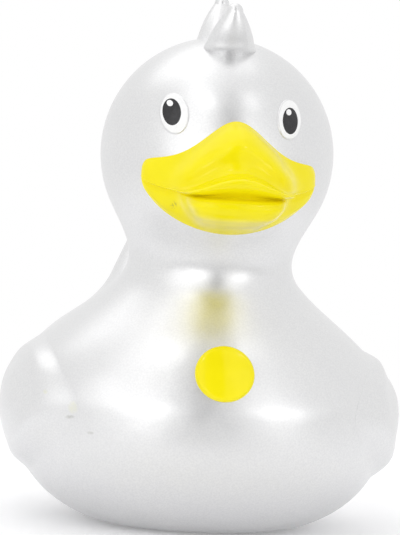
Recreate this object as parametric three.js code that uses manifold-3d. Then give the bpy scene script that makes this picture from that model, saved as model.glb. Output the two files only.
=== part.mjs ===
// A hollow-cast vinyl bath duck: one moulded skin with a bill, a two-lock crest, folded wings,
// an upturned tail, low raised eyes and a plain raised button on the chest.
// Millimetres, +Z up, the duck looks along -Y and stands on z = 0.
import * as THREE from "three";
import { mergeVertices } from "three/addons/utils/BufferGeometryUtils.js";
import Module from "manifold-3d";

// Driving sizes of the head and neck
const HEAD_RADIUS = 23.9;
const HEAD_RISE = 51.1; // centre of the head above the body's widest level
const HEAD_LEAN = 2; // how far the head sits forward of the middle of the base
const NECK_RADIUS = 11.3; // core of the neck where it enters the head
const NECK_ENTRY = 12.1; // how far below the head's centre that is
const NECK_ROOT_RADIUS = 18.3; // core of the neck where it enters the body
const NECK_ROOT = 11.1; // how far above the body's widest level that is
const NECK_BLEND = 14.7;
const CHIN_BLEND = 9.1;

// Driving sizes of the body
const BODY_HALF_WIDTH = 39;
const CHEST_LENGTH = 31; // from the body's middle to the front of the chest
const RUMP_LENGTH = 38; // from the body's middle to the back of the rump
const BODY_BACK = 1; // how far the body's middle lies behind the middle of the base
const BODY_HEIGHT = 25.5; // widest level above the table
const HULL_OVERRUN = 2; // how far below the table the round hull would end, were it not flat
const SHOULDER_RISE = 23.9; // from the widest level to the crown of the back
const HULL_FULLNESS = 2.54; // 2 is an ellipse, more is squarer
const SHOULDER_FULLNESS = 1.91;
const FULLNESS_BLEND = 10; // height over which the hull's fullness turns into the shoulders'
const PLAN_FULLNESS = 2.2;

// Driving sizes of the tail
const TAIL_ROOT = { back: 26, rise: 4.5, radius: 13.8 };
const TAIL_TIP = { back: 46, rise: 35.5, radius: 4.6 }; // both rises are above the body's widest level
const TAIL_SPREAD = 1.75; // width of the tail against its thickness
const TAIL_BLEND = 13;

// Driving sizes of the bill, angles measured round the head from straight ahead
const BILL = {
  corner: THREE.MathUtils.degToRad(49), // where the mouth ends on the cheek
  cornerDrop: 2.9, // below the head's centre
  browRise: 8.2, // peak of the upper outline between the eyes
  browSpread: THREE.MathUtils.degToRad(20),
  cheekRise: 2.6,
  chinDrop: 12, // lower outline below the corners
  mouthDrop: 6.7, // middle of the mouth line below the head's centre
  mouthCurl: 2.6, // rise of the mouth line towards the corners
  lipArch: 0.65, // how fast the groove above the upper lip falls towards the sides
  archHalf: THREE.MathUtils.degToRad(16), // half angle of that arch
  spoonFullness: 8, // how squarely the spoon stands out of the cheek flaps
};

// Driving sizes of the crest, wings, eyes, button and base
const FRONT_LOCK = { root: -7.6, tip: -12, halfWidth: 5.2, halfDepth: 3.6, tipRadius: 1.7, length: 7.3 };
const BACK_LOCK = { root: 1, tip: 5, halfWidth: 4.8, halfDepth: 3.9, tipRadius: 1.5, length: 8.3 };
const WING = {
  back: 4, // its middle behind the middle of the base
  lift: 2, // its middle above the body's widest level
  front: 25.5, // from its middle to the front edge, and so on to each side
  length: 32,
  rise: 13.5,
  fall: 18,
  curl: 6.5, // how far the tip turns up
  narrowAbove: 0.8, // how far the rise shrinks by the tip
  narrowBelow: 0.5,
  thickness: 2.5,
  thinAbove: 0.4, // share of the thickness lost towards the shoulder
  thinBelow: 0.55, // and towards the hem
  edge: 3, // width of the rounded edge
  fade: 2, // how much wider that is along the top
  valley: 0.6, // depth of the hollow behind the front ridge
  valleyBack: 7, // from the edge to that hollow
  valleyWidth: 2.6,
};
const FEATHER_GAPS = [-22.5, -45].map(THREE.MathUtils.degToRad); // on the wing's lower rear edge
const NOTCH_DEPTH = 0.06; // of a gap, against the wing's breadth
const NOTCH_WIDTH = 0.09; // in radians round the wing
const GROOVE_DEPTH = 0.5; // of the groove that runs in from a gap, against the thickness
const EYE = { side: 11.6, rise: 8.6, halfWidth: 2.75, halfHeight: 4, thickness: 0.25 };
const BUTTON = { lift: 8.9, halfWidth: 6, halfHeight: 5.3, thickness: 1.1 };
const FOOT_EDGE = 2; // rounding where the hull turns into the flat base
const DISH_RADIUS = 10; // the middle of the base is dished, so that the flat round it carries the duck
const DISH_DEPTH = 1;
const VENT_RADIUS = 1.5;
const VENT_DEPTH = 4;
const BASE_CUT = 0.3; // the moulding's bottom is trimmed by this much to make it truly flat

// Fineness of the surfaces
const SKIN_COLUMNS = 48;
const CROWN_RINGS = 12;
const CHEEK_RINGS = 7;
const FAN_RINGS = 32;
const TAIL_RINGS = 5;
const MARCH_STEP = 1.5;
const HINGE_FORWARD = 5.5; // from the middle of the tail to the line that the sections fan about
const HINGE_DROP = 6; // from the top of the neck down to that line
const ROOT_DEPTH = 1.6; // how far each raised form is sunk into the skin that carries it
const WING_RIM = 0.2; // height of the wing at its very edge

// What follows from them
const headHeight = BODY_HEIGHT + HEAD_RISE;
const hullDepth = BODY_HEIGHT + HULL_OVERRUN;
const farthest = headHeight + RUMP_LENGTH; // no skin lies farther from the middle of its section
const { lerp, smoothstep } = THREE.MathUtils;
const up = new THREE.Vector3(0, 0, 1);
const headCentre = new THREE.Vector3(0, -HEAD_LEAN, headHeight);

// Two shapes joined with a round fillet of about the given breadth
function fillet(a, b, breadth) {
  const overlap = Math.max(breadth - Math.abs(a - b), 0) / breadth;
  return Math.min(a, b) - (overlap * overlap * breadth) / 4;
}

// Distance to two balls of different size and the cone between them, all on the plane x = 0
function taperedLimb(x, y, z, from, to) {
  const axis = [to.y - from.y, to.z - from.z];
  const length2 = axis[0] ** 2 + axis[1] ** 2;
  const taper = from.radius - to.radius;
  const slant2 = length2 - taper * taper;
  const dy = y - from.y;
  const dz = z - from.z;
  const along = dy * axis[0] + dz * axis[1];
  const beyond = along - length2;
  const off2 = (x * length2) ** 2 + (dy * length2 - along * axis[0]) ** 2 + (dz * length2 - along * axis[1]) ** 2;
  const side = Math.sign(taper) * taper * taper * off2;
  if (Math.sign(beyond) * slant2 * beyond * beyond * length2 > side) {
    return Math.sqrt(off2 + beyond * beyond * length2) / length2 - to.radius;
  }
  if (Math.sign(along) * slant2 * along * along * length2 < side) {
    return Math.sqrt(off2 + along * along * length2) / length2 - from.radius;
  }
  return (Math.sqrt(off2 * slant2 / length2) + along * taper) / length2 - from.radius;
}

const neckRoot = { y: 0, z: BODY_HEIGHT + NECK_ROOT, radius: NECK_ROOT_RADIUS };
const neckTop = { y: -HEAD_LEAN, z: headHeight - NECK_ENTRY, radius: NECK_RADIUS };
const tailRoot = { y: TAIL_ROOT.back, z: BODY_HEIGHT + TAIL_ROOT.rise, radius: TAIL_ROOT.radius };
const tailTip = { y: TAIL_TIP.back, z: BODY_HEIGHT + TAIL_TIP.rise, radius: TAIL_TIP.radius };

function bodyDistance(x, y, z) {
  const below = z < BODY_HEIGHT;
  const above = smoothstep(z, BODY_HEIGHT - FULLNESS_BLEND / 2, BODY_HEIGHT + FULLNESS_BLEND / 2);
  const fullness = lerp(HULL_FULLNESS, SHOULDER_FULLNESS, above);
  const dy = y - BODY_BACK;
  const dz = z - BODY_HEIGHT;
  const plan = (Math.abs(x) / BODY_HALF_WIDTH) ** PLAN_FULLNESS
    + (Math.abs(dy) / (dy < 0 ? CHEST_LENGTH : RUMP_LENGTH)) ** PLAN_FULLNESS;
  const level = (Math.abs(dz) / (below ? hullDepth : SHOULDER_RISE)) ** fullness;
  const share = Math.max(plan ** (fullness / PLAN_FULLNESS) + level, 1e-9) ** (1 / fullness);
  return ((share - 1) * Math.hypot(x, dy, dz)) / share;
}

// Negative inside the duck, positive outside, zero on its skin
function skin(p) {
  const head = p.distanceTo(headCentre) - HEAD_RADIUS;
  const neck = taperedLimb(p.x, p.y, p.z, neckRoot, neckTop);
  const tail = taperedLimb(p.x / TAIL_SPREAD, p.y, p.z, tailRoot, tailTip);
  const rump = fillet(bodyDistance(p.x, p.y, p.z), tail, TAIL_BLEND);
  const round = fillet(fillet(rump, neck, NECK_BLEND), head, CHIN_BLEND);
  return -fillet(-round, p.z + BASE_CUT, FOOT_EDGE);
}

// The point where a line from inside the duck first meets the skin
function skinPoint(from, direction) {
  const at = (t) => from.clone().addScaledVector(direction, t);
  let outside = MARCH_STEP;
  while (outside < farthest && skin(at(outside)) < 0) {
    outside += MARCH_STEP;
  }
  let inside = outside - MARCH_STEP;
  for (let halving = 0; halving < 16; halving += 1) {
    const middle = (inside + outside) / 2;
    if (skin(at(middle)) < 0) {
      inside = middle;
    } else {
      outside = middle;
    }
  }
  return at(outside);
}

function skinNormal(p) {
  const reach = 0.05;
  const slope = (axis) => {
    const ahead = p.clone();
    const behind = p.clone();
    ahead[axis] += reach;
    behind[axis] -= reach;
    return skin(ahead) - skin(behind);
  };
  return new THREE.Vector3(slope("x"), slope("y"), slope("z")).normalize();
}

// A closed solid from rings of equal count laid one after another, its two ends closed by fans
function loft(rings) {
  const count = rings[0].length;
  const positions = rings.flat().flatMap((p) => p.toArray());
  const middleOf = (ring) => ring.reduce((sum, p) => sum.add(p), new THREE.Vector3()).divideScalar(count);
  positions.push(...middleOf(rings[0]).toArray(), ...middleOf(rings[rings.length - 1]).toArray());
  const firstMiddle = rings.length * count;
  const lastMiddle = firstMiddle + 1;
  const lastRing = (rings.length - 1) * count;
  const faces = [];
  for (let j = 0; j < count; j += 1) {
    const next = (j + 1) % count;
    faces.push(firstMiddle, next, j, lastMiddle, lastRing + j, lastRing + next);
    for (let i = 0; i < rings.length - 1; i += 1) {
      const a = i * count + j;
      const b = i * count + next;
      faces.push(a, b, b + count, a, b + count, a + count);
    }
  }
  const geometry = new THREE.BufferGeometry();
  geometry.setAttribute("position", new THREE.Float32BufferAttribute(positions, 3));
  geometry.setIndex(faces);
  return turnedOutwards(geometry);
}

function turnedOutwards(geometry) {
  const at = geometry.getAttribute("position");
  const faces = geometry.getIndex().array;
  const [a, b, c] = [new THREE.Vector3(), new THREE.Vector3(), new THREE.Vector3()];
  let volume = 0;
  for (let i = 0; i < faces.length; i += 3) {
    a.fromBufferAttribute(at, faces[i]);
    b.fromBufferAttribute(at, faces[i + 1]);
    c.fromBufferAttribute(at, faces[i + 2]);
    volume += a.dot(b.cross(c));
  }
  if (volume < 0) {
    faces.reverse();
  }
  return geometry;
}

// The skin, laid out in section planes. Above the hinge height they are level, through neck and
// head. Below it they fan about a line behind the neck, from the neck round under the body to
// the tail, so that every section is one plain oval.
const hinge = { y: (tailRoot.y + tailTip.y) / 2 - HINGE_FORWARD, z: neckTop.z - HINGE_DROP };

function sectionMiddle(direction) {
  const line = new THREE.Vector3(0, hinge.y, hinge.z);
  let first = null;
  let last = 0;
  for (let t = 0; t < farthest; t += MARCH_STEP / 2) {
    if (skin(line.clone().addScaledVector(direction, t)) < 0) {
      first = first ?? t;
      last = t;
    }
  }
  return line.addScaledVector(direction, (first + last) / 2);
}

function section(middle, direction) {
  return Array.from({ length: SKIN_COLUMNS }, (_, j) => {
    const turn = (2 * Math.PI * j) / SKIN_COLUMNS;
    const ray = direction.clone().multiplyScalar(Math.cos(turn));
    ray.x = Math.sin(turn);
    return skinPoint(middle, ray);
  });
}

function skinLoft() {
  const rings = [];
  const forward = new THREE.Vector3(0, -1, 0);
  const backward = new THREE.Vector3(0, 1, 0);
  const crown = headHeight + HEAD_RADIUS;
  const neckMiddle = sectionMiddle(forward);
  for (let i = 1; i <= CROWN_RINGS; i += 1) {
    const z = crown - HEAD_RADIUS * (1 - Math.cos((Math.PI / 2) * ((i - 0.5) / CROWN_RINGS)));
    rings.push(section(new THREE.Vector3(0, -HEAD_LEAN, z), forward));
  }
  for (let i = 0; i < CHEEK_RINGS; i += 1) {
    const share = (i + 0.5) / CHEEK_RINGS;
    rings.push(section(headCentre.clone().lerp(neckMiddle, share), forward));
  }
  for (let i = 0; i <= FAN_RINGS; i += 1) {
    const share = i / FAN_RINGS;
    const angle = Math.PI * (0.8 * share + 0.2 * share ** 3);
    const direction = new THREE.Vector3(0, -Math.cos(angle), -Math.sin(angle));
    rings.push(section(sectionMiddle(direction), direction));
  }
  const tailMiddle = sectionMiddle(backward);
  const tipTop = new THREE.Vector3(0, tailTip.y, tailTip.z + tailTip.radius);
  for (let i = 1; i <= TAIL_RINGS; i += 1) {
    const share = Math.sin((Math.PI / 2) * (i / (TAIL_RINGS + 0.4)));
    rings.push(section(tailMiddle.clone().lerp(tipTop, share), backward));
  }
  return loft(rings);
}

// The bill: upright sections one after another round the front of the head. Each profile runs
// from the brow over the dome, the upper lip, the mouth line, the lower lip and the chin.
// share: place between the mouth line (0) and the upper (+1) or lower (-1) outline.
// reach: how far the middle of the bill stands out of the head there.
// flap: how far the bill stands out along the cheeks.
// half: half angle of the spoon there, in degrees.
const billProfile = [
  { share: 1.0, reach: 0.3, flap: 0.3, half: 22 },
  { share: 0.88, reach: 3.1, flap: 0.9, half: 23 },
  { share: 0.67, reach: 5.7, flap: 1.3, half: 25.5 },
  { share: 0.45, reach: 7.5, flap: 1.5, half: 26.5 },
  { share: 0.33, reach: 9.2, flap: 1.6, half: 25.5 },
  { share: 0.2, reach: 10.9, flap: 1.7, half: 24 },
  { share: 0.08, reach: 10.9, flap: 1.5, half: 22.5 },
  { share: 0.0, reach: 9.4, flap: 0.8, half: 21.5 },
  { share: -0.1, reach: 10.9, flap: 1.3, half: 21 },
  { share: -0.29, reach: 11.5, flap: 1.6, half: 20 },
  { share: -0.5, reach: 10.6, flap: 1.6, half: 18.5 },
  { share: -0.68, reach: 7.4, flap: 1.5, half: 17.5 },
  { share: -0.86, reach: 3.0, flap: 1.0, half: 17 },
  { share: -1.0, reach: 0.5, flap: 0.4, half: 17 },
];
const BILL_SECTIONS = 34;
const BILL_PROFILE_POINTS = 22;

function billSection(angle) {
  const place = Math.abs(angle) / BILL.corner;
  const closing = Math.sqrt(Math.max(1 - place ** 12, 0));
  const brow = BILL.browRise * Math.exp(-((angle / BILL.browSpread) ** 2)) * closing;
  const corner = headHeight - BILL.cornerDrop;
  const top = corner + BILL.cheekRise * closing + brow;
  const bottom = corner - BILL.chinDrop * Math.sqrt(Math.max(1 - place * place, 0));
  const mouthRise = BILL.mouthCurl * place ** 4;
  const mouth = Math.min(headHeight - BILL.mouthDrop + mouthRise, (top + corner) / 2);
  const arch = 1 + BILL.lipArch * Math.min((angle / BILL.archHalf) ** 2, 1.6);
  const out = new THREE.Vector3(Math.sin(angle), -Math.cos(angle), 0);
  const pointAt = (z, stand) => {
    const axis = new THREE.Vector3(0, -HEAD_LEAN, z);
    return skinPoint(axis, out).addScaledVector(out, stand);
  };
  const shape = new THREE.CatmullRomCurve3(
    billProfile.map(({ share, reach, flap, half }) => {
      const z = share > 0 ? lerp(mouth, top, share ** arch) : lerp(mouth, bottom, -share);
      const turn = Math.abs(THREE.MathUtils.radToDeg(angle)) / half;
      const spoon = 1 / (1 + turn ** BILL.spoonFullness);
      return pointAt(z, reach * spoon + flap * closing * (1 - spoon) - (1 - closing));
    }),
    false,
    "centripetal",
  );
  const outer = shape.getPoints(BILL_PROFILE_POINTS);
  const inner = [0.96, 0.5, 0.04].map((share) => pointAt(lerp(top, bottom, share), -ROOT_DEPTH));
  return [...outer, ...inner];
}

function billLoft() {
  const rings = [];
  for (let i = 0; i <= BILL_SECTIONS; i += 1) {
    const sweep = (2 * i) / BILL_SECTIONS - 1;
    const eased = 0.55 * sweep + 0.45 * Math.sin((Math.PI / 2) * sweep);
    rings.push(billSection(BILL.corner * 0.995 * eased));
  }
  return loft(rings);
}

// A lock of the crest: oval sections up a leaning axis, closed by a round tip
function lockLoft(lock) {
  const sides = 20;
  const steps = 8;
  const rootHeight = headHeight + Math.sqrt(HEAD_RADIUS ** 2 - lock.root ** 2);
  const top = headHeight + HEAD_RADIUS + lock.length;
  const bottom = new THREE.Vector3(0, lock.root - HEAD_LEAN, rootHeight - ROOT_DEPTH * 2);
  const shoulder = new THREE.Vector3(0, lock.tip - HEAD_LEAN, top - lock.tipRadius);
  const oval = (middle, halfWidth, halfDepth) => Array.from({ length: sides }, (_, j) => {
    const turn = (2 * Math.PI * j) / sides;
    return middle.clone().add(new THREE.Vector3(halfWidth * Math.cos(turn), halfDepth * Math.sin(turn), 0));
  });
  const rings = [];
  for (let i = 0; i <= steps; i += 1) {
    const share = i / steps;
    const taper = share ** 1.9;
    const middle = bottom.clone().lerp(shoulder, share);
    const halfWidth = lerp(lock.halfWidth + 0.5, lock.tipRadius, taper);
    const halfDepth = lerp(lock.halfDepth + 0.5, lock.tipRadius, taper);
    rings.push(oval(middle, halfWidth, halfDepth));
  }
  for (let i = 1; i <= 3; i += 1) {
    const angle = (Math.PI / 2) * (i / 3.5);
    const middle = shoulder.clone().addScaledVector(up, lock.tipRadius * Math.sin(angle));
    rings.push(oval(middle, lock.tipRadius * Math.cos(angle), lock.tipRadius * Math.cos(angle)));
  }
  return loft(rings);
}

// A raised form that follows the skin: rings from its middle to its edge and back underneath.
// project(a, share) gives the skin point at angle a and at that share of the way to the edge.
function relief(project, rise, sides, shares) {
  const ringAt = (share, lift) => Array.from({ length: sides }, (_, j) => {
    const angle = (2 * Math.PI * j) / sides;
    const p = project(angle, share);
    return p.clone().addScaledVector(skinNormal(p), lift(share, angle));
  });
  const outer = shares.map((share) => ringAt(share, rise));
  const under = [1, 0.5].map((share) => ringAt(share, () => -ROOT_DEPTH));
  return loft([...outer, ...under]);
}

// A folded wing: a round front ridge with a hollow behind it, a low lower hem, and a rear edge
// that gaps part into three blunt feathers
function wingLoft(side) {
  const height = BODY_HEIGHT + WING.lift;
  const heart = { y: WING.back + WING.edge, z: height };
  const gapAt = (angle) => FEATHER_GAPS.reduce((sum, gap) => {
    const turn = Math.atan2(Math.sin(angle - gap), Math.cos(angle - gap));
    return sum + Math.exp(-((turn / NOTCH_WIDTH) ** 2));
  }, 0);
  const edgeAt = (angle) => {
    const [along, across] = [Math.cos(angle), Math.sin(angle)];
    const rear = Math.max(along, 0);
    const half = across > 0 ? WING.rise : WING.fall;
    const narrowing = 1 - (across > 0 ? WING.narrowAbove : WING.narrowBelow) * rear ** 2;
    const y = WING.back + (along > 0 ? WING.length : WING.front) * along;
    const z = height + half * narrowing * across + WING.curl * rear ** 1.6;
    const notch = NOTCH_DEPTH * gapAt(angle);
    return { y: lerp(y, heart.y, notch), z: lerp(z, heart.z, notch) };
  };
  const placeAt = (angle, share) => {
    const edge = edgeAt(angle);
    return { y: lerp(heart.y, edge.y, share), z: lerp(heart.z, edge.z, share) };
  };
  const project = (angle, share) => {
    const { y, z } = placeAt(angle, share);
    const from = new THREE.Vector3(0, y * 0.9, BODY_HEIGHT - WING.fall / 4);
    return skinPoint(from, new THREE.Vector3(side * BODY_HALF_WIDTH, y, z).sub(from).normalize());
  };
  const rise = (share, angle) => {
    const edge = edgeAt(angle);
    const { y, z } = placeAt(angle, share);
    const breadth = Math.hypot(edge.y - heart.y, edge.z - heart.z);
    const fromEdge = (1 - share) * breadth;
    const above = smoothstep(z, height - WING.rise / 2, height + WING.rise / 2);
    const below = 1 - smoothstep(z, height - WING.fall, height - WING.fall / 5);
    const behind = smoothstep(y, WING.back - WING.front / 2, WING.back);
    const rounding = smoothstep(fromEdge, 0, WING.edge + WING.fade * Math.max(Math.sin(angle), 0));
    const thickness = WING.thickness * (1 - WING.thinAbove * above) * (1 - WING.thinBelow * below * behind);
    const front = Math.max(-Math.cos(angle), 0);
    const valley = WING.valley * front * Math.exp(-(((fromEdge - WING.valleyBack) / WING.valleyWidth) ** 2));
    const groove = GROOVE_DEPTH * gapAt(angle) * smoothstep(share, 0.45, 0.75);
    return WING_RIM + (thickness * rounding - valley) * (1 - groove);
  };
  return relief(project, rise, 48, [0.05, 0.25, 0.45, 0.62, 0.74, 0.83, 0.9, 0.95, 1]);
}

// Eyes and button are laid on the skin from straight ahead
function frontal(x, z, halfWidth, halfHeight) {
  return (angle, share) => {
    const from = new THREE.Vector3(
      x + share * halfWidth * Math.cos(angle),
      -HEAD_LEAN,
      z + share * halfHeight * Math.sin(angle),
    );
    return skinPoint(from, new THREE.Vector3(0, -1, 0));
  };
}

function eyeLoft(side) {
  const oval = frontal(side * EYE.side, headHeight + EYE.rise, EYE.halfWidth, EYE.halfHeight);
  return relief(oval, () => EYE.thickness, 24, [0.1, 0.6, 0.93, 1]);
}

function buttonLoft() {
  const oval = frontal(0, BODY_HEIGHT + BUTTON.lift, BUTTON.halfWidth, BUTTON.halfHeight);
  const bevelStart = 0.85;
  const rise = (share) => {
    const downBevel = Math.max(share - bevelStart, 0) / (1 - bevelStart);
    return BUTTON.thickness * (1 - 0.6 * downBevel ** 2);
  };
  return relief(oval, rise, 30, [0.1, 0.5, bevelStart, 0.95, 1]);
}

// What is taken off underneath: the trim at table level, a shallow dish and the vent
function baseTrim() {
  const span = 4 * BODY_HALF_WIDTH;
  return new THREE.BoxGeometry(span, span, BODY_HEIGHT).translate(0, 0, -BODY_HEIGHT / 2);
}

function dishCut() {
  const steps = 4;
  const outline = [new THREE.Vector2(0, -DISH_DEPTH), new THREE.Vector2(DISH_RADIUS, -DISH_DEPTH)];
  for (let i = 0; i < steps; i += 1) {
    const angle = (Math.PI / 2) * (i / steps);
    outline.push(new THREE.Vector2(DISH_RADIUS * Math.cos(angle), DISH_DEPTH * Math.sin(angle)));
  }
  outline.push(new THREE.Vector2(0, DISH_DEPTH));
  return new THREE.LatheGeometry(outline, 40).rotateX(Math.PI / 2).translate(0, BODY_BACK, 0);
}

function ventCut() {
  const hole = new THREE.CylinderGeometry(VENT_RADIUS, VENT_RADIUS, 2 * VENT_DEPTH, 20);
  return hole.rotateX(Math.PI / 2).translate(0, BODY_BACK, DISH_DEPTH);
}

const wasm = await Module();
wasm.setup();

function solid(geometry) {
  const bare = geometry.clone();
  bare.deleteAttribute("normal");
  bare.deleteAttribute("uv");
  const merged = mergeVertices(bare, 1e-4);
  return new wasm.Manifold(new wasm.Mesh({
    numProp: 3,
    vertProperties: new Float32Array(merged.getAttribute("position").array),
    triVerts: new Uint32Array(merged.getIndex().array),
  }));
}

function surface(body) {
  const { vertProperties, triVerts } = body.getMesh();
  const geometry = new THREE.BufferGeometry();
  geometry.setAttribute("position", new THREE.BufferAttribute(vertProperties, 3));
  geometry.setIndex(new THREE.BufferAttribute(triVerts, 1));
  geometry.computeVertexNormals();
  return geometry;
}

const raised = [
  billLoft(),
  ...[FRONT_LOCK, BACK_LOCK].map(lockLoft),
  ...[-1, 1].flatMap((side) => [wingLoft(side), eyeLoft(side)]),
  buttonLoft(),
];
let moulding = solid(skinLoft());
for (const form of raised) {
  moulding = moulding.add(solid(form));
}
for (const space of [baseTrim(), dishCut(), ventCut()]) {
  moulding = moulding.subtract(solid(space));
}

const silverPaint = new THREE.MeshStandardMaterial({ color: 0xc9cacd, roughness: 0.32, metalness: 0.6 });
const duck = new THREE.Mesh(surface(moulding), silverPaint);
duck.name = "duck_moulding";

// The part's origin is the middle of its footprint, on the table
const bounds = new THREE.Box3().setFromObject(duck);
duck.position.y = -(bounds.min.y + bounds.max.y) / 2;

const group = new THREE.Group();
group.add(duck);
export default group;
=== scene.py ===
import math

import bmesh
import bpy
import numpy as np
from mathutils import Matrix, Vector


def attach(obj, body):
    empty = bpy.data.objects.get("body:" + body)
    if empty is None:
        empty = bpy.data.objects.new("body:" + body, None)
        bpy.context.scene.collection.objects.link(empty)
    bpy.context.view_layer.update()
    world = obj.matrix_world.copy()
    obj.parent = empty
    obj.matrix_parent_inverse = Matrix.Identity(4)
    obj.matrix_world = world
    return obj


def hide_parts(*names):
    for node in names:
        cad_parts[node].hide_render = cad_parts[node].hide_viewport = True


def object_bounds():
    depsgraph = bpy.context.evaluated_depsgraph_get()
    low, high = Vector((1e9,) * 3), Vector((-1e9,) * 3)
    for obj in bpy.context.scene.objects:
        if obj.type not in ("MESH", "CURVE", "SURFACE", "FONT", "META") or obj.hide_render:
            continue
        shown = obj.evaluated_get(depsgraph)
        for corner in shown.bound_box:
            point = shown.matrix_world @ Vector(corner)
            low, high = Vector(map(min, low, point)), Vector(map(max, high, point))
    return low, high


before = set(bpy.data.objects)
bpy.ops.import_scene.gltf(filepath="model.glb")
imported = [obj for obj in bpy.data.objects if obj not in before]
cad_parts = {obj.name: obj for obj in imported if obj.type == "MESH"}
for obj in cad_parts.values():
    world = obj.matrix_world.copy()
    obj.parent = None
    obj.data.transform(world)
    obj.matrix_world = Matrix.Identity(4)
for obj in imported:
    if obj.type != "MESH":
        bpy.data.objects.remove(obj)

cad_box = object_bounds()

# The casting: one hollow skin of soft vinyl, moulded closed, with head, neck, body and an
# upturned tail in one sweep. It is sprayed all over with pearl silver, and its flat base is
# dished in the middle and vented.
MM = 0.001
INSET = 0.1  # paint and polish lie this much inside the drawn sizes, in mm as all sizes here are

BODY_HEIGHT = 25.5  # widest level above the table
BODY_HALF_WIDTH = 39
CHEST_LENGTH = 31
RUMP_LENGTH = 38
BODY_BACK = 1  # from the drawing's middle to the body's
HULL_DEPTH = BODY_HEIGHT + 2  # the hull would end below the table, where the base is cut off
SHOULDER_RISE = 23.9
HULL_FULLNESS = 2.54  # 2 is an ellipse, and more is squarer
SHOULDER_FULLNESS = 1.91
FULLNESS_BLEND = 10  # height over which the one turns into the other
PLAN_FULLNESS = 2.2
HEAD_RADIUS = 23.9
HEAD = np.array([0, -2, BODY_HEIGHT + 51.1])
NECK_ROOT = (0, BODY_HEIGHT + 11.1, 18.3)  # how far back, how high, radius
NECK_TOP = (HEAD[1], HEAD[2] - 12.1, 11.3)
NECK_BLEND = 14.7
CHIN_BLEND = 9.1
TAIL_ROOT = (26, BODY_HEIGHT + 4.5, 13.8)
TAIL_TIP = (46, BODY_HEIGHT + 35.5, 4.6)
TAIL_SPREAD = 1.75  # its width against its thickness
TAIL_BLEND = 13
BASE_CUT = 0.3  # how far below the table the skin is cut, before its foot is pressed flat
FOOT_EDGE = 2
DISH_RADIUS = 10
DISH_DEPTH = 1
DISH_FULLNESS = 6
VENT_RADIUS = 1.5
VENT_DEPTH = 4
VENT_STEPS = ((0.0, 1.35), (0.6, 1.0), (VENT_DEPTH, 1.0))  # height in the wall, share of the radius
VENT_START = 0.2  # below the top of the dish
VENT_SIDES = 40

MARCH_STEP = 1.5  # a ray goes out in these steps until it has left the skin
HALVINGS = 18  # and the last step is then halved this often
MIDDLE_STEP = 0.25
PROBE = 0.05  # from a point to each side, where the slope of the skin is felt
FARTHEST = HEAD[2] + RUMP_LENGTH
COLUMNS = 224
CROWN_RINGS = 56
CHEEK_RINGS = 30
FAN_RINGS = 150
FAN_EVENNESS = 0.8  # share of the fan's turn in even steps, and the rest widens them towards the tail
TAIL_RINGS = 22
HINGE_AHEAD = 5.5  # of the middle of the tail
HINGE_BELOW = 6  # under the top of the neck
HINGE = np.array([0, (TAIL_ROOT[0] + TAIL_TIP[0]) / 2 - HINGE_AHEAD, NECK_TOP[1] - HINGE_BELOW])


def smooth_step(value):
    value = np.clip(value, 0, 1)
    return value ** 2 * (3 - 2 * value)


def fillet(a, b, breadth):
    overlap = np.maximum(breadth - np.abs(a - b), 0) / breadth
    return np.minimum(a, b) - overlap ** 2 * breadth / 4


def tapered_limb(x, y, z, start, end):
    """Distance to two balls of different size and the cone between them."""
    axis_y, axis_z = end[0] - start[0], end[1] - start[1]
    length2 = axis_y ** 2 + axis_z ** 2
    taper = start[2] - end[2]
    slant2 = length2 - taper ** 2
    dy, dz = y - start[0], z - start[1]
    along = dy * axis_y + dz * axis_z
    beyond = along - length2
    off_y, off_z = dy * length2 - along * axis_y, dz * length2 - along * axis_z
    off2 = (x * length2) ** 2 + off_y ** 2 + off_z ** 2
    side = np.sign(taper) * taper ** 2 * off2
    cone = (np.sqrt(off2 * slant2 / length2) + along * taper) / length2 - start[2]
    end_ball = np.sqrt(off2 + beyond ** 2 * length2) / length2 - end[2]
    start_ball = np.sqrt(off2 + along ** 2 * length2) / length2 - start[2]
    past_end = np.sign(beyond) * slant2 * beyond ** 2 * length2 > side
    before_start = np.sign(along) * slant2 * along ** 2 * length2 < side
    return np.where(past_end, end_ball, np.where(before_start, start_ball, cone))


def body_distance(x, y, z):
    below = z < BODY_HEIGHT
    rise = smooth_step((z - BODY_HEIGHT) / FULLNESS_BLEND + 0.5)
    fullness = HULL_FULLNESS + (SHOULDER_FULLNESS - HULL_FULLNESS) * rise
    dy, dz = y - BODY_BACK, z - BODY_HEIGHT
    plan = (np.abs(x) / BODY_HALF_WIDTH) ** PLAN_FULLNESS
    plan += (np.abs(dy) / np.where(dy < 0, CHEST_LENGTH, RUMP_LENGTH)) ** PLAN_FULLNESS
    level = (np.abs(dz) / np.where(below, HULL_DEPTH, SHOULDER_RISE)) ** fullness
    share = np.maximum(plan ** (fullness / PLAN_FULLNESS) + level, 1e-9) ** (1 / fullness)
    return (share - 1) * np.sqrt(x ** 2 + dy ** 2 + dz ** 2) / share


def skin(points):
    """Negative inside the duck, positive outside."""
    x, y, z = points[..., 0], points[..., 1], points[..., 2]
    head = np.linalg.norm(points - HEAD, axis=-1) - HEAD_RADIUS
    tail = tapered_limb(x / TAIL_SPREAD, y, z, TAIL_ROOT, TAIL_TIP)
    rump = fillet(body_distance(x, y, z), tail, TAIL_BLEND)
    trunk = fillet(rump, tapered_limb(x, y, z, NECK_ROOT, NECK_TOP), NECK_BLEND)
    shape = fillet(trunk, head, CHIN_BLEND)
    return -fillet(-shape - INSET, z + BASE_CUT, FOOT_EDGE)


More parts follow.
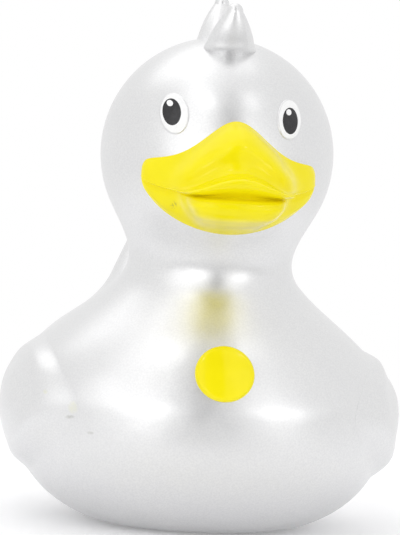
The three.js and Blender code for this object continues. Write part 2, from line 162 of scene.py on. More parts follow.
def skin_points(starts, directions):
    """Where lines from inside the duck first meet its skin."""
    outside = np.full(starts.shape[:-1], MARCH_STEP)
    for _ in range(int(FARTHEST / MARCH_STEP)):
        within = skin(starts + directions * outside[..., None]) < 0
        if not within.any():
            break
        outside = outside + MARCH_STEP * within
    inside = outside - MARCH_STEP
    for _ in range(HALVINGS):
        middle = (inside + outside) / 2
        within = skin(starts + directions * middle[..., None]) < 0
        inside = np.where(within, middle, inside)
        outside = np.where(within, outside, middle)
    return starts + directions * outside[..., None]


def skin_normals(points):
    slopes = [skin(points + step) - skin(points - step) for step in PROBE * np.eye(3)]
    normals = np.stack(slopes, -1)
    return normals / np.linalg.norm(normals, axis=-1, keepdims=True)


def section(middle, direction):
    """One closed ring of skin points round a middle, in the plane of x and a direction."""
    turn = 2 * np.pi * np.arange(COLUMNS) / COLUMNS
    rays = np.cos(turn)[:, None] * direction
    rays[:, 0] = np.sin(turn)
    return skin_points(np.broadcast_to(middle, rays.shape), rays)


def section_middle(direction):
    """The middle of the duck's thickness on a line from the hinge."""
    steps = np.arange(0, FARTHEST, MIDDLE_STEP)
    inside = steps[skin(HINGE + direction * steps[:, None]) < 0]
    return HINGE + direction * (inside[0] + inside[-1]) / 2


def casting_rings():
    """Level sections down to the neck, then a fan of them round under the body to the tail.

    The fan turns about the hinge, a line across the hollow between head and tail.
    """
    forward, backward = np.array([0, -1, 0]), np.array([0, 1, 0])
    neck_middle, tail_middle = section_middle(forward), section_middle(backward)
    rings = []
    for i in range(CROWN_RINGS):
        drop = HEAD_RADIUS * (1 - math.cos(math.pi / 2 * (i + 0.5) / CROWN_RINGS))
        rings.append(section(HEAD + [0, 0, HEAD_RADIUS - drop], forward))
    for i in range(CHEEK_RINGS):
        rings.append(section(HEAD + (neck_middle - HEAD) * (i + 0.5) / CHEEK_RINGS, forward))
    for i in range(FAN_RINGS + 1):
        share = i / FAN_RINGS
        angle = math.pi * (FAN_EVENNESS * share + (1 - FAN_EVENNESS) * share ** 3)
        direction = np.array([0, -math.cos(angle), -math.sin(angle)])
        rings.append(section(section_middle(direction), direction))
    tip_top = np.array([0, TAIL_TIP[0], TAIL_TIP[1] + TAIL_TIP[2]])
    for i in range(1, TAIL_RINGS + 1):
        share = math.sin(math.pi / 2 * i / (TAIL_RINGS + 0.4))
        rings.append(section(tail_middle + (tip_top - tail_middle) * share, backward))
    return np.array(rings)


def loft(rings):
    """Vertices and faces of a closed body laid over rings, with a fan over each end."""
    count, sides = rings.shape[:2]
    points = np.concatenate([rings.reshape(-1, 3), [rings[0].mean(0), rings[-1].mean(0)]])
    first, last = count * sides, count * sides + 1
    faces = []
    for j in range(sides):
        k = (j + 1) % sides
        faces.append((first, k, j))
        faces.append((last, (count - 1) * sides + j, (count - 1) * sides + k))
        for here in range(0, (count - 1) * sides, sides):
            following = here + sides
            faces.append((here + j, here + k, following + k, following + j))
    return points, faces


def moulded(name, shape, paint, crease=40):
    """A piece from points in mm: shaded smooth but at creases, riding on the duck."""
    points, faces = shape
    mesh = bpy.data.meshes.new(name)
    mesh.from_pydata((points + [0, shift, 0]) * MM, [], faces)
    mesh.materials.append(paint)
    cleaner = bmesh.new()
    cleaner.from_mesh(mesh)
    bmesh.ops.recalc_face_normals(cleaner, faces=cleaner.faces)
    cleaner.to_mesh(mesh)
    cleaner.free()
    mesh.set_sharp_from_angle(angle=math.radians(crease))
    piece = bpy.data.objects.new(name, mesh)
    bpy.context.scene.collection.objects.link(piece)
    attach(piece, "root")
    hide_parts("duck_moulding")
    return piece


def new_paint(name):
    paint = bpy.data.materials.new(name)
    paint.use_nodes = True
    return paint, paint.node_tree.nodes["Principled BSDF"]


def grain(paint, size, detail=2.0, roughness=0.5):
    """Noise whose grains are about size mm across."""
    nodes, links = paint.node_tree.nodes, paint.node_tree.links
    noise = nodes.new("ShaderNodeTexNoise")
    noise.inputs["Scale"].default_value = 1 / (size * MM)
    noise.inputs["Detail"].default_value = detail
    noise.inputs["Roughness"].default_value = roughness
    links.new(nodes.new("ShaderNodeTexCoord").outputs["Object"], noise.inputs["Vector"])
    return noise.outputs["Fac"]


def spread(paint, value, low, high, start=0.3, end=0.7):
    """A value read between start and end, given out between low and high."""
    ramp = paint.node_tree.nodes.new("ShaderNodeMapRange")
    for socket, number in zip(("From Min", "From Max", "To Min", "To Max"), (start, end, low, high)):
        ramp.inputs[socket].default_value = number
    paint.node_tree.links.new(value, ramp.inputs["Value"])
    return ramp.outputs["Result"]


def tint(paint, amount, before, after):
    """One colour turning into another by an amount. Each is a colour or a socket."""
    mix = paint.node_tree.nodes.new("ShaderNodeMix")
    mix.data_type = "RGBA"
    paint.node_tree.links.new(amount, mix.inputs["Factor"])
    for socket, colour in ((mix.inputs[6], before), (mix.inputs[7], after)):
        if isinstance(colour, tuple):
            socket.default_value = (*colour, 1)
        else:
            paint.node_tree.links.new(colour, socket)
    return mix.outputs[2]


def mark(paint, centre, half, turn=0.0, softness=0.5):
    """A soft oval mask on the surface at a point in mm, with its half sizes in mm."""
    nodes, links = paint.node_tree.nodes, paint.node_tree.links
    mapping = nodes.new("ShaderNodeMapping")
    mapping.vector_type = "TEXTURE"
    mapping.inputs["Location"].default_value = (np.array(centre) + [0, shift, 0]) * MM
    mapping.inputs["Rotation"].default_value = (0, turn, 0)
    mapping.inputs["Scale"].default_value = np.array(half) * MM
    ball = nodes.new("ShaderNodeTexGradient")
    ball.gradient_type = "SPHERICAL"
    links.new(nodes.new("ShaderNodeTexCoord").outputs["Object"], mapping.inputs["Vector"])
    links.new(mapping.outputs["Vector"], ball.inputs["Vector"])
    return spread(paint, ball.outputs["Fac"], 0, 1, start=0, end=softness)


def times(paint, a, b):
    product = paint.node_tree.nodes.new("ShaderNodeMath")
    product.operation = "MULTIPLY"
    for socket, value in zip(product.inputs, (a, b)):
        paint.node_tree.links.new(value, socket)
    return product.outputs["Value"]


def dimples(paint, shader, layers):
    """Bumps of several noises, each given with its height in mm."""
    normal = None
    for height, depth in layers:
        bump = paint.node_tree.nodes.new("ShaderNodeBump")
        bump.inputs["Distance"].default_value = depth * MM
        paint.node_tree.links.new(height, bump.inputs["Height"])
        if normal is not None:
            paint.node_tree.links.new(normal, bump.inputs["Normal"])
        normal = bump.outputs["Normal"]
    paint.node_tree.links.new(normal, shader.inputs["Normal"])


# Marks on the silver: a yellow-green scuff on the wing, dark horizontal streaks low on the left flank and
# a faint yellowish patch. Two of the dark streaks are painted reflection of the table's dark horizon.
SCUFFS_AND_HORIZON_REFLECTION = [  # centre in mm, half sizes in mm, turn, colour
    # a yellow-green scuff on the wing
    ((-34.1, -15.1, 28.2), (0.9, 2.5, 0.9), 0.0, (0.72, 0.72, 0.30)),
    # a dark horizontal streak on the flank
    ((-35.6, -13.2, 23.9), (1.2, 2.5, 0.35), 0.5, (0.40, 0.40, 0.44)),
    # two dark horizontal streaks: painted reflection of the horizon
    ((-29.5, -20.8, 23.9), (1.1, 2.0, 0.45), -0.2, (0.52, 0.52, 0.50)),
    ((-25.6, -23.5, 21.2), (0.8, 2.0, 0.4), 0.0, (0.58, 0.58, 0.56)),
    # a faint yellowish patch
    ((-29.0, -21.0, 25.9), (1.2, 2.0, 1.5), 0.0, (0.76, 0.76, 0.66)),
]


def silver_paint():
    paint, shader = new_paint("silver_paint")
    flakes = spread(paint, grain(paint, size=0.35, detail=1.0), 0, 1)
    clouds = spread(paint, grain(paint, size=16, detail=3.0), 0, 0.25)
    colour = tint(paint, flakes, (0.72, 0.72, 0.725), (0.785, 0.785, 0.785))
    colour = tint(paint, clouds, colour, (0.715, 0.717, 0.727))
    # scuff marks and painted reflection of the horizon, each darkening or tinting the silver within its
    # oval
    for centre, half, turn, scuff_and_reflection_colour in SCUFFS_AND_HORIZON_REFLECTION:
        patches = spread(paint, grain(paint, size=0.5), low=0.3, high=0.9)
        colour = tint(paint, times(paint, mark(paint, centre, half, turn), patches), colour, scuff_and_reflection_colour)
    satin = spread(paint, grain(paint, size=5), low=0.33, high=0.4)
    paint.node_tree.links.new(colour, shader.inputs["Base Color"])
    paint.node_tree.links.new(satin, shader.inputs["Roughness"])
    shader.inputs["Metallic"].default_value = 1.0
    shader.inputs["Coat Weight"].default_value = 0.08
    shader.inputs["Coat Roughness"].default_value = 0.25
    dimples(paint, shader, [(grain(paint, size=2.2), 0.02), (grain(paint, size=0.7), 0.003)])
    return paint


rings = casting_rings()
rings[..., 2] = np.maximum(rings[..., 2], 0)
from_middle = np.hypot(rings[..., 0], rings[..., 1] - BODY_BACK) / DISH_RADIUS
dish = DISH_DEPTH * np.sqrt(np.clip(1 - from_middle ** DISH_FULLNESS, 0, 1))
rings[..., 2] = np.where(rings[..., 2] < DISH_DEPTH, np.maximum(rings[..., 2], dish), rings[..., 2])
shift = cad_box[1].y / MM - INSET - rings[..., 1].max()  # moves the drawing until its tail is in place
silver = silver_paint()
casting = moulded("duck_casting", loft(rings), silver)

vent_turn = 2 * np.pi * np.arange(VENT_SIDES) / VENT_SIDES
vent_rings = []
for height, wide in VENT_STEPS:
    vent_x = VENT_RADIUS * wide * np.cos(vent_turn)
    vent_y = BODY_BACK + VENT_RADIUS * wide * np.sin(vent_turn)
    vent_rings.append(np.stack([vent_x, vent_y, 0 * vent_x + DISH_DEPTH + height - VENT_START], -1))
vent_points, vent_faces = loft(np.array(vent_rings))
vent_mesh = bpy.data.meshes.new("vent_bore")
vent_mesh.from_pydata((vent_points + [0, shift, 0]) * MM, [], vent_faces)
vent_bore = bpy.data.objects.new("vent_bore", vent_mesh)
bpy.context.scene.collection.objects.link(vent_bore)
boring = casting.modifiers.new("vent", "BOOLEAN")
boring.operation = "DIFFERENCE"
boring.solver = "MANIFOLD"
boring.object = vent_bore
bpy.context.view_layer.update()
bored = bpy.data.meshes.new_from_object(casting.evaluated_get(bpy.context.evaluated_depsgraph_get()))
casting.modifiers.clear()
casting.data = bored
casting.data.name = "duck_casting"
bpy.data.objects.remove(vent_bore)

# The wings: folded against the flanks, moulded in relief on the same skin. The front edge is a
# round ridge with a shallow valley behind it, and the rear parts into three blunt feathers.
WING_MIDDLE = (4, 27.5)  # how far back, how high
WING_FRONT = 26.4  # from the middle to the front edge, and so on to each side
WING_LENGTH = 32
WING_RISE = 13.5
WING_FALL = 19.5
WING_SLANT = 1.15  # over 1 draws the lower front edge straighter
WING_CURL = 6.5  # how far the tip turns up
WING_CURL_POWER = 1.6
WING_NARROWING_ABOVE = 0.8
WING_NARROWING_BELOW = 0.5
WING_HEART_BACK = 3  # from the middle to the point that the rings close on
WING_RAY_BACK = 0.9  # rays to the skin start in the duck's middle, at this share of the way back
WING_RAY_DROP = 4  # and this far below its widest level
WING_THICKNESS = 2.5
WING_THINNER_ABOVE = 0.4  # share of the thickness lost towards the shoulder
WING_THINNER_BELOW = 0.55  # and towards the hem
WING_HEM = 0.8  # share of the fall over which it thins
WING_EDGE = 4.8  # width of the rounded edge
WING_FRONT_EDGE = 8.5  # the same at the front, where it is softest
WING_FADE = 5  # how much wider that is along the top of the rear
WING_RIM = 0.015  # height of the very edge
WING_VALLEY = 0.4
WING_VALLEY_BACK = 11  # from the edge to the valley
WING_VALLEY_WIDTH = 3.5
FEATHER_GAPS = (-math.pi / 8, -math.pi / 4)  # where they meet the lower rear edge, as angles
NOTCH_DEPTH = 0.06  # of a gap, against the wing's breadth
NOTCH_WIDTH = 0.09  # in radians round the wing
GROOVE_DEPTH = 0.5  # of the groove that runs in from a gap, against the thickness
GROOVE_WIDTH = 0.9
GROOVE_START = 0.45  # both as shares of the way out
GROOVE_RUN = 0.3
ROOT_DEPTH = 1.6  # how deep a raised form is sunk into the skin that carries it


def shares_outwards(span, steps, crowding):
    """Shares of the way out to an edge, from near the middle, which gather at the edge."""
    return 1 - np.linspace(span, 0, steps) ** crowding


def wing_shape(side, sides=200, steps=56):
    angle = 2 * np.pi * np.arange(sides) / sides
    from_gaps = [angle - gap - 2 * np.pi for gap in FEATHER_GAPS]
    along, across = np.cos(angle), np.sin(angle)
    front, rear = np.maximum(-along, 0), np.maximum(along, 0)
    reach = np.where(along > 0, WING_LENGTH, WING_FRONT)
    slant = np.where((along < 0) & (across < 0), WING_SLANT, 1)
    along = np.sign(along) * np.abs(along) ** slant
    edge_y = WING_MIDDLE[0] + reach * along
    half_height = np.where(across > 0, WING_RISE, WING_FALL)
    narrowing = np.where(across > 0, WING_NARROWING_ABOVE, WING_NARROWING_BELOW) * rear ** 2
    curl = WING_CURL * rear ** WING_CURL_POWER
    edge_z = WING_MIDDLE[1] + half_height * (1 - narrowing) * across + curl
    heart_y, heart_z = WING_MIDDLE[0] + WING_HEART_BACK, WING_MIDDLE[1]
    notch = NOTCH_DEPTH * sum(np.exp(-(away / NOTCH_WIDTH) ** 2) for away in from_gaps)
    edge_y = edge_y - notch * (edge_y - heart_y)
    edge_z = edge_z - notch * (edge_z - heart_z)
    breadth = np.hypot(edge_y - heart_y, edge_z - heart_z)
    edge_width = WING_EDGE + (WING_FRONT_EDGE - WING_EDGE) * front
    edge_width = edge_width + WING_FADE * np.maximum(across, 0) * smooth_step(along + 0.5)

    def outline(share):
        return heart_y + (edge_y - heart_y) * share, heart_z + (edge_z - heart_z) * share

    def on_skin(share):
        y, z = outline(share)
        starts = np.stack([0 * y, WING_RAY_BACK * y, 0 * y + BODY_HEIGHT - WING_RAY_DROP], -1)
        aims = np.stack([0 * y + side * BODY_HALF_WIDTH, y, z], -1) - starts
        return skin_points(starts, aims / np.linalg.norm(aims, axis=-1, keepdims=True))

    def relief(share):
        from_edge = (1 - share) * breadth
        y, z = outline(share)
        above = smooth_step((z - WING_MIDDLE[1]) / WING_RISE + 0.5)
        below = 1 - smooth_step(((z - WING_MIDDLE[1]) / WING_FALL + 1) / WING_HEM)
        below = below * smooth_step((y - WING_MIDDLE[0]) * 2 / WING_FRONT + 1)
        thickness = WING_THICKNESS * (1 - WING_THINNER_ABOVE * above) * (1 - WING_THINNER_BELOW * below)
        valley = WING_VALLEY * front * np.exp(-((from_edge - WING_VALLEY_BACK) / WING_VALLEY_WIDTH) ** 2)
        groove = sum(np.exp(-(away * breadth * share / GROOVE_WIDTH) ** 2) for away in from_gaps)
        groove = GROOVE_DEPTH * groove * smooth_step((share - GROOVE_START) / GROOVE_RUN)
        return (thickness * smooth_step(from_edge / edge_width) - valley) * (1 - groove) + WING_RIM

    rings = []
    for share in shares_outwards(0.985, steps, crowding=1.6):
        base = on_skin(share)
        rings.append(base + skin_normals(base) * relief(share)[:, None])
    for share, depth in ((1, 0.5), (0.97, ROOT_DEPTH), (0.5, ROOT_DEPTH)):  # its back, in the flank
        base = on_skin(share)
        rings.append(base - skin_normals(base) * depth)
    return loft(np.array(rings))


for name, side in (("wing_right", -1), ("wing_left", 1)):
    moulded(name, wing_shape(side), silver)

# The crest: two short locks of solid vinyl on the crown, one leaning forward and one back,
# moulded with the head and sprayed with it.
LOCKS = {
    "crest_front": dict(root=-7.0, tip=-12.0, half_width=4.8, half_depth=3.6, tip_radius=1.7, length=7.3),
    "crest_back": dict(root=1, tip=5.0, half_width=4.8, half_depth=3.9, tip_radius=1.5, length=8.3),
}
LOCK_TAPER = 1.9
LOCK_FOOT = 0.5  # how much wider a lock is at its sunk foot than its given size
FLARE = 0.2  # how far the foot of a lock spreads where it meets the head
FLARE_DROP = 1.2  # how far below the crown that is most
FLARE_HEIGHT = 1.1


def lock_shape(root, tip, half_width, half_depth, tip_radius, length, sides=96, steps=46, cap_steps=14):
    turn = 2 * np.pi * np.arange(sides) / sides
    top = HEAD[2] + HEAD_RADIUS + length - INSET
    root_height = HEAD[2] + math.sqrt(HEAD_RADIUS ** 2 - root ** 2)
    foot = np.array([0, HEAD[1] + root, root_height - 2 * ROOT_DEPTH])
    shoulder = np.array([0, HEAD[1] + tip, top - tip_radius])

    def oval(middle, wide, deep):
        return middle + np.stack([wide * np.cos(turn), deep * np.sin(turn), 0 * turn], -1)

    def tapered(half, taper):
        return half + LOCK_FOOT + (tip_radius - half - LOCK_FOOT) * taper

    rings = []
    for share in np.linspace(0, 1, steps):
        middle = foot + (shoulder - foot) * share
        taper = share ** LOCK_TAPER
        above = middle[2] - root_height
        flare = FLARE * math.exp(-((above + FLARE_DROP) / FLARE_HEIGHT) ** 2)
        rings.append(oval(middle, tapered(half_width, taper) + flare, tapered(half_depth, taper) + flare))
    for i in range(1, cap_steps):
        angle = math.pi / 2 * i / cap_steps
        lifted = shoulder + [0, 0, tip_radius * math.sin(angle)]
        rings.append(oval(lifted, tip_radius * math.cos(angle), tip_radius * math.cos(angle)))
    return loft(np.array(rings))


for name, lock in LOCKS.items():
    moulded(name, lock_shape(**lock), silver)

# The bill: broad and flat with rolled lips, part of the moulding, masked off and sprayed
# with glossy yellow paint.
BILL_CORNER = math.radians(49)  # angle round the head where the mouth ends
BILL_END = 0.998  # share of that angle where the last section stands
CLOSING_POWER = 12  # how suddenly the bill closes at its corners
CORNER_DROP = 2.9
BROW_RISE = 8.2
BROW_SPREAD = math.radians(20)
CHEEK_RISE = 2.6
CHIN_DROP = 12
MOUTH_DROP = 6.7
MOUTH_CURL = 2.6
LIP_ARCH = 0.65  # how fast the groove above the upper lip falls towards the sides
ARCH_HALF = math.radians(16)
ARCH_LIMIT = 1.6
SPOON_FULLNESS = 8  # how squarely the middle of the bill stands out of its cheeks
BILL_SECTIONS = 180
BILL_ROWS = 10  # per stretch of the profile
BILL_PROFILE = (  # place up (+) or down (-) from the mouth, reach, flap, half angle of the spoon
    (1.00, 0.3, 0.3, 22),
    (0.88, 3.1, 0.9, 23),
    (0.67, 5.7, 1.3, 25.5),
    (0.45, 5.9, 1.5, 26.5),
    (0.34, 6.9, 1.6, 25.5),
    (0.23, 10.5, 1.7, 24),
    (0.11, 9.7, 1.5, 22.5),
    (0.00, 8.0, 1.25, 21.5),
    (-0.08, 10.0, 1.3, 21),
    (-0.25, 11.3, 1.6, 20),
    (-0.50, 10.6, 1.6, 18.5),
    (-0.68, 7.4, 1.5, 17.5),
    (-0.86, 3.0, 1.0, 17),
    (-1.00, 0.5, 0.4, 17),
)


def smooth_through(knots, rows):
    """Centripetal curve through knots laid along the first axis."""
    knots = np.concatenate([2 * knots[:1] - knots[1:2], knots, 2 * knots[-1:] - knots[-2:-1]])
    gaps = np.linalg.norm(np.diff(knots, axis=0), axis=-1) ** 0.5 + 1e-6
    points = []
    for i in range(1, len(knots) - 2):
        before, here, after = gaps[i - 1][..., None], gaps[i][..., None], gaps[i + 1][..., None]
        p0, p1, p2, p3 = knots[i - 1:i + 3]
        start = ((p1 - p0) / before - (p2 - p0) / (before + here) + (p2 - p1) / here) * here
        finish = ((p2 - p1) / here - (p3 - p1) / (here + after) + (p3 - p2) / after) * here
        for t in np.arange(rows) / rows:
            points.append(
                (2 * t ** 3 - 3 * t ** 2 + 1) * p1 + (t ** 3 - 2 * t ** 2 + t) * start
                + (3 * t ** 2 - 2 * t ** 3) * p2 + (t ** 3 - t ** 2) * finish
            )
    return np.array(points + [knots[-2]])


def bill_shape():
    sweep = np.linspace(-1, 1, BILL_SECTIONS + 1)
    angle = BILL_CORNER * BILL_END * (0.5 * sweep + 0.5 * np.sin(np.pi / 2 * sweep))
    place = np.abs(angle) / BILL_CORNER
    closing = np.sqrt(1 - place ** CLOSING_POWER)
    corner = HEAD[2] - CORNER_DROP
    brow = BROW_RISE * np.exp(-((angle / BROW_SPREAD) ** 2))
    top = corner + CHEEK_RISE * closing + brow * closing
    bottom = corner - CHIN_DROP * np.sqrt(1 - place ** 2)
    mouth = np.minimum(HEAD[2] - MOUTH_DROP + MOUTH_CURL * place ** 4, (top + corner) / 2)
    arch = 1 + LIP_ARCH * np.minimum((angle / ARCH_HALF) ** 2, ARCH_LIMIT)
    outwards = np.stack([np.sin(angle), -np.cos(angle), 0 * angle], -1)

    def standing(z, stand):
        axis = np.stack([0 * z, 0 * z + HEAD[1], z], -1)
        return skin_points(axis, outwards) + outwards * stand[:, None]

    knots = []
    for share, reach, flap, half_angle in BILL_PROFILE:
        z = mouth + (share ** arch * (top - mouth) if share > 0 else share * (mouth - bottom))
        spoon = 1 / (1 + (angle / math.radians(half_angle)) ** SPOON_FULLNESS)
        knots.append(standing(z, reach * spoon + flap * closing * (1 - spoon) - (1 - closing)))
    outer = smooth_through(np.array(knots), BILL_ROWS)
    sunk = 0 * top - ROOT_DEPTH  # the bill's back, in the head
    inner = [standing(top + (bottom - top) * share, sunk) for share in (0.96, 0.5, 0.04)]
    return loft(np.concatenate([outer, inner]).transpose(1, 0, 2))


def yellow_paint():
    paint, shader = new_paint("yellow_paint")
    clouds = spread(paint, grain(paint, size=6), 0, 1)
    colour = tint(paint, clouds, (0.90, 0.775, 0.003), (0.94, 0.815, 0.005))
    # Darker olive streaks low on the left of the bill, under the mouth.
    dark_olive_streaks = mark(paint, centre=(-11.1, -21.2, 67.7), half=(1.1, 3.0, 1.6), turn=0.4)
    lines = spread(paint, grain(paint, size=0.45, detail=4.0), 0.0, 0.9, start=0.45, end=0.62)
    colour = tint(paint, times(paint, dark_olive_streaks, lines), colour, (0.35, 0.30, 0.05))
    gloss = spread(paint, grain(paint, size=3), low=0.12, high=0.2)
    paint.node_tree.links.new(colour, shader.inputs["Base Color"])
    paint.node_tree.links.new(gloss, shader.inputs["Roughness"])
    shader.inputs["Specular IOR Level"].default_value = 0.1
    shader.inputs["Coat Weight"].default_value = 0.3
    shader.inputs["Coat Roughness"].default_value = 0.08
    dimples(paint, shader, [(grain(paint, size=1.8), 0.015), (grain(paint, size=0.25), 0.0012)])
    return paint


yellow = yellow_paint()
moulded("bill", bill_shape(), yellow)

# The chest button: a plain oval boss standing out of the moulding, its face and rounded
# edge painted with the yellow of the bill.
BUTTON_CENTRE = (0, 34.4)  # sideways, height
BUTTON_HALF = (6, 5.3)
BUTTON_THICKNESS = 1.1
BUTTON_EDGE = 0.8
BUTTON_DOME = 0.25


def laid_on_front(centre, half, lift, edge, sides=96, steps=26, depth=ROOT_DEPTH, dome=0.0):
    """An oval raised form laid on the skin from straight ahead, with a rounded edge."""
    turn = 2 * np.pi * np.arange(sides) / sides

    def on_skin(share):
        x = centre[0] + share * half[0] * np.cos(turn)
        z = centre[1] + share * half[1] * np.sin(turn)
        starts = np.stack([x, 0 * turn + HEAD[1], z], -1)
        return skin_points(starts, np.broadcast_to([0.0, -1.0, 0.0], starts.shape))

    rings = []
    for share in shares_outwards(0.97, steps, crowding=1.5):
        from_edge = (1 - share) * min(half)
        rounding = math.sqrt(max(1 - max(1 - from_edge / edge, 0) ** 2, 0))
        height = lift[0] + (lift[1] - lift[0]) * rounding + dome * (1 - share ** 2)
        base = on_skin(share)
        rings.append(base + skin_normals(base) * height)
    for share in (0.98, 0.5):  # its back, in the skin
        base = on_skin(share)
        rings.append(base - skin_normals(base) * depth)
    return loft(np.array(rings))


button = laid_on_front(BUTTON_CENTRE, BUTTON_HALF, (0, BUTTON_THICKNESS), BUTTON_EDGE, dome=BUTTON_DOME)
moulded("chest_button", button, yellow)

# The eyes: low silver bosses of the moulding, pad-printed on top in gloss: a white oval, a
# black pupil and a white glint.
EYES = {  # centre sideways and high, shift of the pupil sideways and up
    "right": (-12.0, 85.2, -0.4, 0.25),
    "left": (11.1, 85.2, 0.0, -0.3),
}
EYE_BOSS = (2.75, 4.0)
EYE_WHITE = (2.45, 3.7)
PUPIL = (1.7, 2.6)
GLINT = (0.58, 0.6)
GLINT_SHIFT = (-0.3, 1.65)
BOSS_RISE = 0.25
BOSS_EDGE = 0.3
PRINT = 0.03  # thickness of each print
PRINT_EDGE = 0.08
PRINT_LIFT = 0.1  # how far a print's underside stands off the moulding, within the boss


def print_ink(name, dark, light):
    paint, shader = new_paint(name)
    colour = tint(paint, spread(paint, grain(paint, size=0.8), 0, 1), dark, light)
    gloss = spread(paint, grain(paint, size=0.6), low=0.1, high=0.18)
    paint.node_tree.links.new(colour, shader.inputs["Base Color"])
    paint.node_tree.links.new(gloss, shader.inputs["Roughness"])
    dimples(paint, shader, [(grain(paint, size=0.5), 0.002)])
    return paint


white = print_ink("white_print", (0.90, 0.90, 0.90), (0.94, 0.94, 0.94))
black = print_ink("black_print", (0.012, 0.012, 0.013), (0.022, 0.021, 0.024))

for name, (x, z, pupil_x, pupil_z) in EYES.items():
    boss = laid_on_front((x, z), EYE_BOSS, (0, BOSS_RISE), BOSS_EDGE)
    moulded(f"eye_boss_{name}", boss, silver)
    pupil_middle = (x + pupil_x, z + pupil_z)
    glint_middle = (pupil_middle[0] + GLINT_SHIFT[0], pupil_middle[1] + GLINT_SHIFT[1])
    layers = [
        (f"eye_white_{name}", (x, z), EYE_WHITE, white, "white_print"),
        (f"eye_pupil_{name}", pupil_middle, PUPIL, black, "black_print"),
        (f"eye_glint_{name}", glint_middle, GLINT, white, "white_print"),
    ]
    for layer, (piece, middle, half, ink, slot) in enumerate(layers):
        under = BOSS_RISE + layer * PRINT
        lift = (under - PRINT / 2, under + PRINT)
        moulded(piece, laid_on_front(middle, half, lift, PRINT_EDGE, steps=14, depth=-PRINT_LIFT), ink)

# The camera: a long lens on a stand in front of the duck, a little to its right and a little
# above it, and rolled slightly.
AZIMUTH = math.radians(-9)
ELEVATION = math.radians(5)
ROLL = math.radians(3.334)
DISTANCE = 700  # in mm, as the duck's sizes are
LENS = 229.1
AIM = np.array([0, 0, 53.5])  # in the duck's own sizes, before it is moved to the frame's middle
AIM_SHIFT = (-1.824, -0.385)  # to the picture's right and up, so that the duck sits as framed


def placing(right, up, back, place):
    """The matrix of a thing with these axes at a place in metres."""
    rows = [[*row, offset] for row, offset in zip(np.stack([right, up, back], 1), place)]
    return Matrix(rows + [[0, 0, 0, 1]])


flat = math.cos(ELEVATION)
back = np.array([math.sin(AZIMUTH) * flat, -math.cos(AZIMUTH) * flat, math.sin(ELEVATION)])
level = np.array([math.cos(AZIMUTH), math.sin(AZIMUTH), 0])
upright = np.cross(back, level)
right = math.cos(ROLL) * level + math.sin(ROLL) * upright
up = math.cos(ROLL) * upright - math.sin(ROLL) * level
stand = AIM + [0, shift, 0] + back * DISTANCE + right * AIM_SHIFT[0] + up * AIM_SHIFT[1]
camera_data = bpy.data.cameras.new("studio_camera")
camera_data.lens = LENS
camera_data.sensor_width = 36
camera_data.clip_start = 0.01
camera = bpy.data.objects.new("studio_camera", camera_data)
camera.matrix_world = placing(right, up, back, stand * MM)
bpy.context.scene.collection.objects.link(camera)
bpy.context.scene.camera = camera

# The floor: a table covered with white paper, which ends a hand's length in front of the duck.
# Farther out the paper is lit so brightly that it melts into the white surround.
FLOOR_HALF_SIDE = 3.0  # in metres, as all sizes from here on are
FLOOR_FRONT = 0.22
FADE_START = 0.1  # distances from the duck over which the paper turns plain white
FADE_END = 0.2


def studio_sheet(name, corners, material):
    """A flat sheet of the studio, which is no part of the duck."""
    mesh = bpy.data.meshes.new(name)
    mesh.from_pydata(corners, [], [(0, 1, 2, 3)])
    mesh.materials.append(material)
    sheet = bpy.data.objects.new(name, mesh)
    bpy.context.scene.collection.objects.link(sheet)


floor_paper, paper = new_paint("floor_paper")
paper.inputs["Base Color"].default_value = (0.92, 0.92, 0.93, 1)
paper.inputs["Roughness"].default_value = 0.9
paper.inputs["Emission Color"].default_value = (1, 1, 1, 1)
paper.inputs["Emission Strength"].default_value = 0.14
nodes, links = floor_paper.node_tree.nodes, floor_paper.node_tree.links
overlit = nodes.new("ShaderNodeEmission")
overlit.inputs["Strength"].default_value = 1.0
fade = nodes.new("ShaderNodeMixShader")
from_duck = nodes.new("ShaderNodeVectorMath")
from_duck.operation = "LENGTH"
links.new(nodes.new("ShaderNodeTexCoord").outputs["Object"], from_duck.inputs[0])
links.new(spread(floor_paper, from_duck.outputs["Value"], 0, 1, FADE_START, FADE_END), fade.inputs[0])
links.new(paper.outputs["BSDF"], fade.inputs[1])
links.new(overlit.outputs["Emission"], fade.inputs[2])
links.new(fade.outputs["Shader"], nodes["Material Output"].inputs["Surface"])
studio_sheet("floor", [
    (-FLOOR_HALF_SIDE, -FLOOR_FRONT, 0),
    (FLOOR_HALF_SIDE, -FLOOR_FRONT, 0),
    (FLOOR_HALF_SIDE, FLOOR_HALF_SIDE, 0),
    (-FLOOR_HALF_SIDE, FLOOR_HALF_SIDE, 0),
], floor_paper)

# The surround: white cloth on all sides. It is plain white wherever it is seen or mirrored,
# and lights the duck a little less strongly than that.
SURROUND_LIGHT = 0.9
SURROUND_SEEN = 1.0
world = bpy.data.worlds.new("white_surround")
bpy.context.scene.world = world
world.use_nodes = True
nodes, links = world.node_tree.nodes, world.node_tree.links
sky = nodes["Background"]
sky.inputs["Color"].default_value = (1, 1, 1, 1)
rays = nodes.new("ShaderNodeLightPath")
seen = rays.outputs["Is Camera Ray"]
for kind in ("Is Glossy Ray", "Is Transmission Ray"):
    either = nodes.new("ShaderNodeMath")
    either.operation = "MAXIMUM"
    links.new(seen, either.inputs[0])
    links.new(rays.outputs[kind], either.inputs[1])
    seen = either.outputs["Value"]
strength = nodes.new("ShaderNodeMapRange")
strength.inputs["To Min"].default_value = SURROUND_LIGHT
strength.inputs["To Max"].default_value = SURROUND_SEEN
links.new(seen, strength.inputs["Value"])
links.new(strength.outputs["Result"], sky.inputs["Strength"])

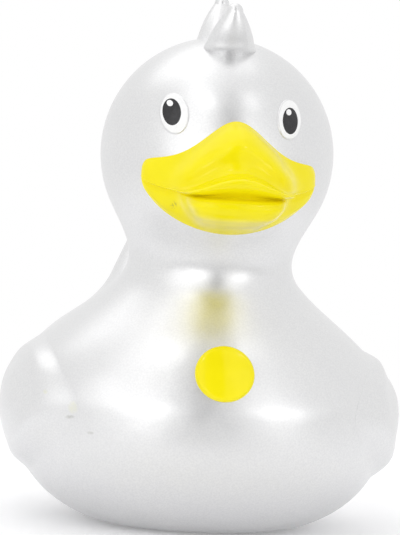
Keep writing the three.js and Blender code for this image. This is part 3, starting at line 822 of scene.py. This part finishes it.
# The lamps: two large soft boxes in front, a wide one overhead, and small ones that give the
# silver its brightest spots. All are rectangles of white cloth that face the duck.
LAMPS = {  # azimuth from the front in degrees, height, distance, width, height of the cloth, watts
    "soft_box_left": (-37, 0.4, 1.3, 1.2, 1.5, 2.35),
    "soft_box_right": (25, 0.4, 1.3, 0.42, 1.3, 0.75),
    "lamp_left": (-22, 0.05, 1.3, 0.4, 0.3, 0.7),
    "lamp_right": (34, 0.08, 1.3, 0.3, 0.3, 0.55),
    "high_box": (-48, 1.2, 0.65, 0.5, 0.5, 0.4),
    "high_lamp_left": (-22, 1.15, 0.8, 0.12, 0.12, 0.35),
    "high_lamp_right": (36, 1.15, 0.8, 0.12, 0.12, 0.25),
    "overhead_box": (202, 1.25, 0.5, 1.3, 1.2, 2.4),
}
LAMP_AIM = [0, 0, 0.055]
for name, (azimuth, height, distance, wide, tall, watts) in LAMPS.items():
    lamp = bpy.data.lights.new(name, "AREA")
    lamp.shape = "RECTANGLE"
    lamp.size = wide
    lamp.size_y = tall
    lamp.energy = watts
    turn = math.radians(azimuth)
    away = np.array([math.sin(turn) * distance, -math.cos(turn) * distance, height])
    facing = (away - LAMP_AIM) / np.linalg.norm(away - LAMP_AIM)
    sideways = np.cross([0, 0, 1], facing)
    sideways /= np.linalg.norm(sideways)
    box = bpy.data.objects.new(name, lamp)
    box.matrix_world = placing(sideways, np.cross(facing, sideways), facing, away)
    bpy.context.scene.collection.objects.link(box)

# Two pieces of dark felt out of the picture, which the silver mirrors. The tall screen behind the
# camera keeps the two boxes apart, and the strip on the table in front draws a soft horizon.
SCREEN_DISTANCE = 1.05
SCREEN_LEAN = 0.75  # share of that distance at the top
SCREEN_HALF_WIDTH = 0.085
SCREEN_TOP_HALF_WIDTH = 0.17
SCREEN_SIDE = 0.04
SCREEN_BOTTOM = -0.2
SCREEN_TOP = 1.6
STRIP_HALF_WIDTH = 0.5
STRIP_NEAR = 0.128
STRIP_FAR = 0.16
STRIP_LIFT = 0.0005  # above the table
dark_felt, felt = new_paint("dark_felt")
felt.inputs["Base Color"].default_value = (0.08, 0.08, 0.08, 1)
felt.inputs["Roughness"].default_value = 1.0
studio_sheet("dark_screen", [
    (SCREEN_SIDE - SCREEN_HALF_WIDTH, -SCREEN_DISTANCE, SCREEN_BOTTOM),
    (SCREEN_SIDE + SCREEN_HALF_WIDTH, -SCREEN_DISTANCE, SCREEN_BOTTOM),
    (SCREEN_SIDE + SCREEN_TOP_HALF_WIDTH, -SCREEN_DISTANCE * SCREEN_LEAN, SCREEN_TOP),
    (SCREEN_SIDE - SCREEN_TOP_HALF_WIDTH, -SCREEN_DISTANCE * SCREEN_LEAN, SCREEN_TOP),
], dark_felt)
studio_sheet("dark_strip", [
    (-STRIP_HALF_WIDTH, -STRIP_FAR, STRIP_LIFT),
    (STRIP_HALF_WIDTH, -STRIP_FAR, STRIP_LIFT),
    (STRIP_HALF_WIDTH, -STRIP_NEAR, STRIP_LIFT),
    (-STRIP_HALF_WIDTH, -STRIP_NEAR, STRIP_LIFT),
], dark_felt)

# Colours are shown as they are.
bpy.context.scene.view_settings.view_transform = "Standard"
